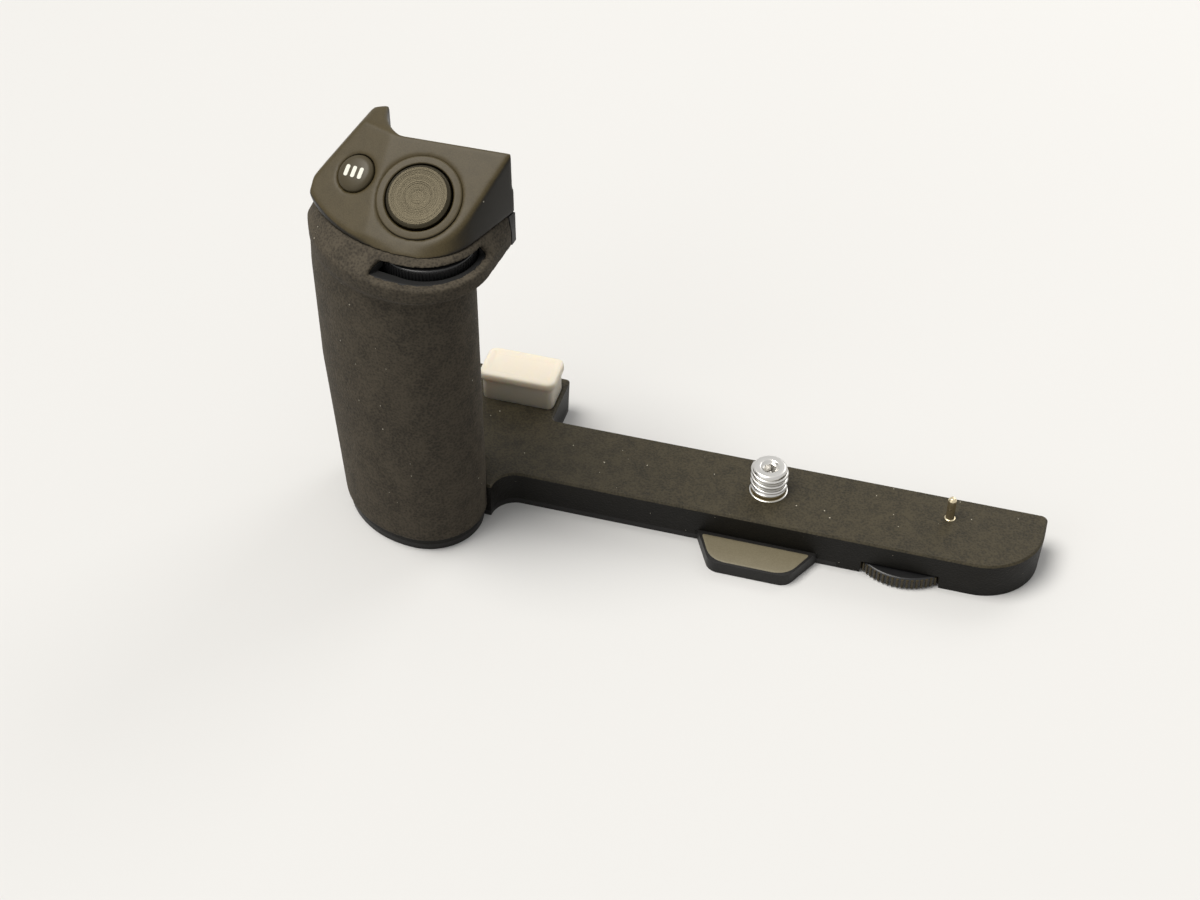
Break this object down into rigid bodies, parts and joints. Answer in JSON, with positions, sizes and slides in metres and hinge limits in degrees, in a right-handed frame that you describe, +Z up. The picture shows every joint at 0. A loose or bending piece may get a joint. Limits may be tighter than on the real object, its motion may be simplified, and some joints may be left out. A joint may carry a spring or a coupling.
{
  "type": "camera hand grip",
  "caption": "Camera hand grip: gripping column with shutter button, function button and front dial, on a base bar with captive tripod screw, thumbwheel and plug.",
  "frame": {"origin": "on the camera screw's axis, at the seat face the camera stands on", "axes": "+X along the bar away from the column, +Y from the front to the back, +Z up"},
  "size_m": [0.1259, 0.0442, 0.0733],
  "materials": {
    "base_plastic": "fine texture",
    "cover_plastic": "matte",
    "grip_rubber": "fine grain",
    "head_plastic": "semi-gloss",
    "core_plastic": "moulded",
    "control_black": "semi-gloss",
    "button_metal": "black, spun",
    "steel": "polished",
    "dark_steel": "blackened",
    "brass": "turned",
    "gear_plastic": "natural",
    "cap_ivory": "satin, slightly translucent",
    "connector_black": "matte",
    "contact_gold": "gold-plated",
    "board_green": "solder mask",
    "flex_amber": "satin",
    "switch_black": "matte",
    "bracket_steel": "stamped",
    "pad_rubber": "matte"
  },
  "bodies": {
    "grip": {"base_frame": "base_plastic", "bottom_cover": "cover_plastic", "cover_screws": "dark_steel", "foot_screws": "dark_steel", "tripod_bush": "steel", "alignment_pin": "steel", "idler_pins": "steel", "wheel_axle": "dark_steel", "connector_housing": "connector_black", "connector_contacts": "contact_gold", "connector_board": "board_green", "grip_core": "core_plastic", "grip_skin": "grip_rubber", "rear_cover": "core_plastic", "rear_cover_screws": "dark_steel", "rear_pad": "pad_rubber", "main_board": "board_green", "ribbon_cable": "flex_amber", "dial_bracket": "bracket_steel", "bracket_screws": "dark_steel", "dial_axle": "steel", "dial_encoder": "board_green", "head_cover": "head_plastic", "head_screws": "dark_steel", "shutter_bezel": "control_black", "shutter_switch": "switch_black", "button_board": "board_green", "function_switch": "switch_black", "function_board": "board_green"},
    "camera_screw": {"camera_screw": "steel", "screw_gear": "gear_plastic"},
    "idler_a": {"idler_gear_a": "gear_plastic"},
    "idler_b": {"idler_gear_b": "gear_plastic"},
    "thumbwheel": {"thumbwheel": "control_black", "wheel_gear": "gear_plastic"},
    "dial": {"control_dial": "control_black"},
    "shutter": {"shutter_button": "button_metal"},
    "function": {"function_button": "control_black"},
    "cap": {"connector_cap": "cap_ivory"}
  },
  "joints": [
    {"name": "wheel_spin", "type": "hinge", "parent": "grip", "child": "thumbwheel", "pos_m": [0.0252, -0.0006, -0.0061], "axis": [0, 0, 1], "continuous": true},
    {"name": "idler_b_spin", "type": "hinge", "parent": "grip", "child": "idler_b", "pos_m": [0.0168, -0.0004, -0.0017], "axis": [0, 0, 1], "continuous": true},
    {"name": "idler_a_spin", "type": "hinge", "parent": "grip", "child": "idler_a", "pos_m": [0.0084, -0.0002, -0.0017], "axis": [0, 0, 1], "continuous": true},
    {"name": "screw_spin", "type": "hinge", "parent": "grip", "child": "camera_screw", "pos_m": [0, 0, 0], "axis": [0, 0, 1], "continuous": true},
    {"name": "dial_spin", "type": "hinge", "parent": "grip", "child": "dial", "pos_m": [-0.055, -0.0145, 0.0518], "axis": [0, 0, 1], "continuous": true},
    {"name": "shutter_press", "type": "slide", "parent": "grip", "child": "shutter", "axis": [0, 0.5736, -0.8192], "range_m": [0, 0.0009], "stiffness_N_per_m": 900, "springref_m": -0.0009},
    {"name": "function_press", "type": "slide", "parent": "grip", "child": "function", "axis": [0.2079, 0.561, -0.8013], "range_m": [0, 0.00045], "stiffness_N_per_m": 900, "springref_m": -0.0009},
    {"name": "cap_pull", "type": "slide", "parent": "grip", "child": "cap", "axis": [0, 0, 1], "range_m": [0, 0.014]}
  ],
  "couplings": [
    {"joint": "idler_b_spin", "follows": "wheel_spin", "ratio": -1},
    {"joint": "idler_a_spin", "follows": "wheel_spin", "ratio": 1},
    {"joint": "screw_spin", "follows": "wheel_spin", "ratio": -1}
  ]
}
